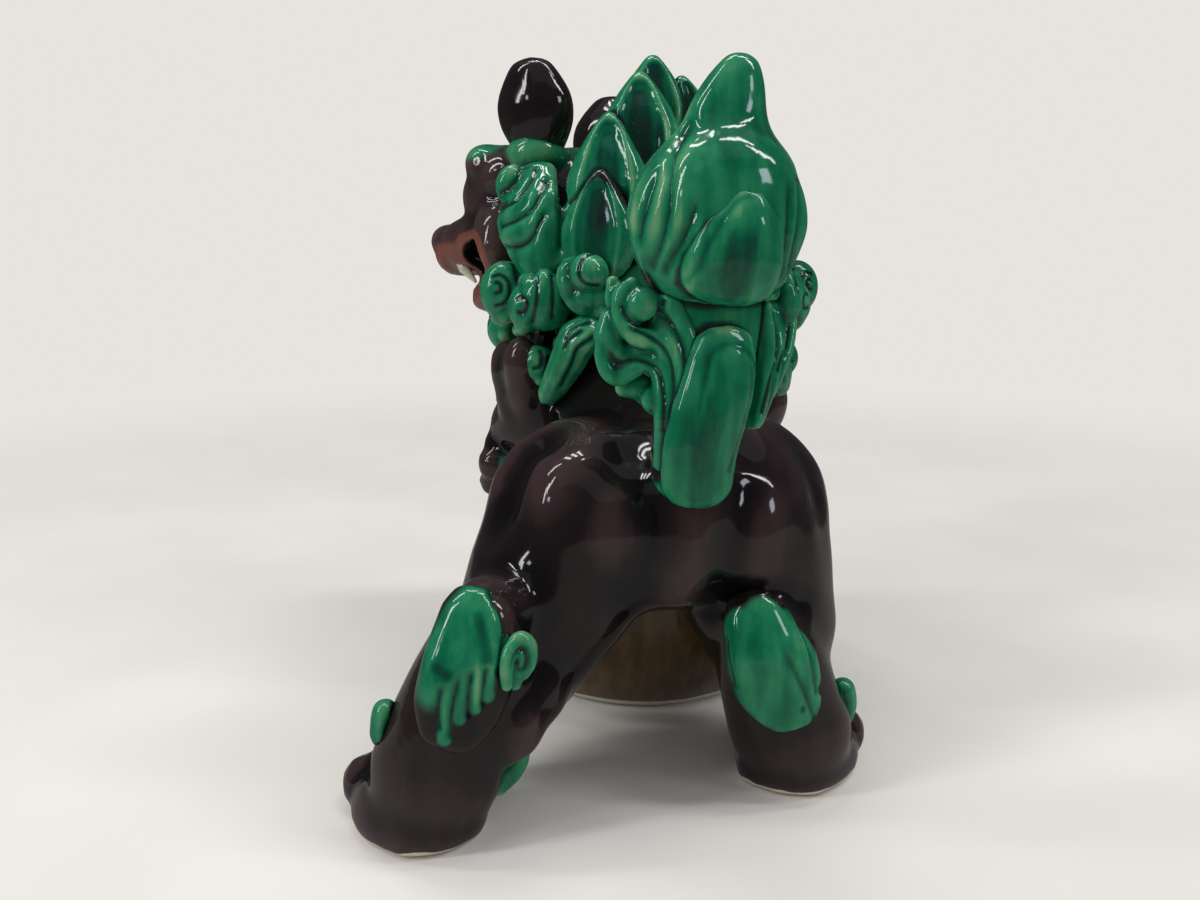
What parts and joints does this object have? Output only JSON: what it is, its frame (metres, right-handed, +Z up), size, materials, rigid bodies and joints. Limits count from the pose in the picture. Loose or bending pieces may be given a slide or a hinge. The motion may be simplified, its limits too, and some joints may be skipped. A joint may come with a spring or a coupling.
{
  "type": "guardian lion figure",
  "caption": "Glazed porcelain guardian lion with bared fangs, curled green mane and flame tail, head turned to its left, standing on its hind legs over a large ball.",
  "frame": {"origin": "middle of the footprint's bounding box, on the ground under the hind soles and the ball's foot", "axes": "+Z up; the lion's body faces -Y over the ball, its tail is at +Y and its left side is at +X"},
  "size_m": [0.237, 0.2556, 0.3054],
  "materials": {
    "aubergine_glaze": "glossy dark manganese purple glaze that thins to reddish purple on edges",
    "green_glaze": "glossy copper green glaze, dark in the grooves and yellow-green where it thins",
    "amber_glaze": "glossy brown to amber glaze with yellow patches",
    "ivory_glaze": "glossy off-white glaze",
    "red_glaze": "glossy brownish red glaze"
  },
  "bodies": {
    "root": {"ball": "amber_glaze", "torso": "aubergine_glaze", "left_hind_paw": "aubergine_glaze", "right_hind_paw": "aubergine_glaze", "left_hind_leg": "aubergine_glaze", "right_hind_leg": "aubergine_glaze", "left_fore_paw": "aubergine_glaze", "right_fore_paw": "aubergine_glaze", "left_foreleg": "aubergine_glaze", "right_foreleg": "aubergine_glaze", "head": "aubergine_glaze", "lower_jaw": "aubergine_glaze", "tongue": "red_glaze", "left_upper_fang": "ivory_glaze", "right_upper_fang": "ivory_glaze", "left_lower_fang": "ivory_glaze", "right_lower_fang": "ivory_glaze", "nose": "aubergine_glaze", "left_eye": "ivory_glaze", "right_eye": "ivory_glaze", "left_brow": "green_glaze", "right_brow": "green_glaze", "left_ear": "aubergine_glaze", "right_ear": "aubergine_glaze", "mane": "aubergine_glaze", "crest_flame_nape": "green_glaze", "crest_flame_low": "green_glaze", "crest_flame_middle": "green_glaze", "crest_flame_top": "green_glaze", "crest_flame_right": "green_glaze", "right_flame_low": "green_glaze", "right_flame_nape": "green_glaze", "left_cheek_lock": "green_glaze", "right_cheek_lock": "green_glaze", "left_cheek_curl": "green_glaze", "right_cheek_curl": "green_glaze", "left_beard_curl": "green_glaze", "right_beard_curl": "green_glaze", "left_neck_lock": "green_glaze", "right_neck_lock": "green_glaze", "left_nape_knob": "green_glaze", "right_nape_knob": "green_glaze", "left_shoulder_lock": "green_glaze", "right_shoulder_lock": "green_glaze", "left_shoulder_curl": "green_glaze", "right_shoulder_curl": "green_glaze", "tail_stem": "green_glaze", "tail_tongue": "green_glaze", "tail_plume": "green_glaze", "tail_front_lobe": "green_glaze", "tail_left_strand": "green_glaze", "tail_left_low_strand": "green_glaze", "tail_right_strand": "green_glaze", "left_hock_tuft": "green_glaze", "right_hock_tuft": "green_glaze", "left_hock_curl": "green_glaze", "left_outer_lock": "green_glaze", "left_inner_lock": "green_glaze", "right_outer_lock": "green_glaze"}
  },
  "joints": []
}
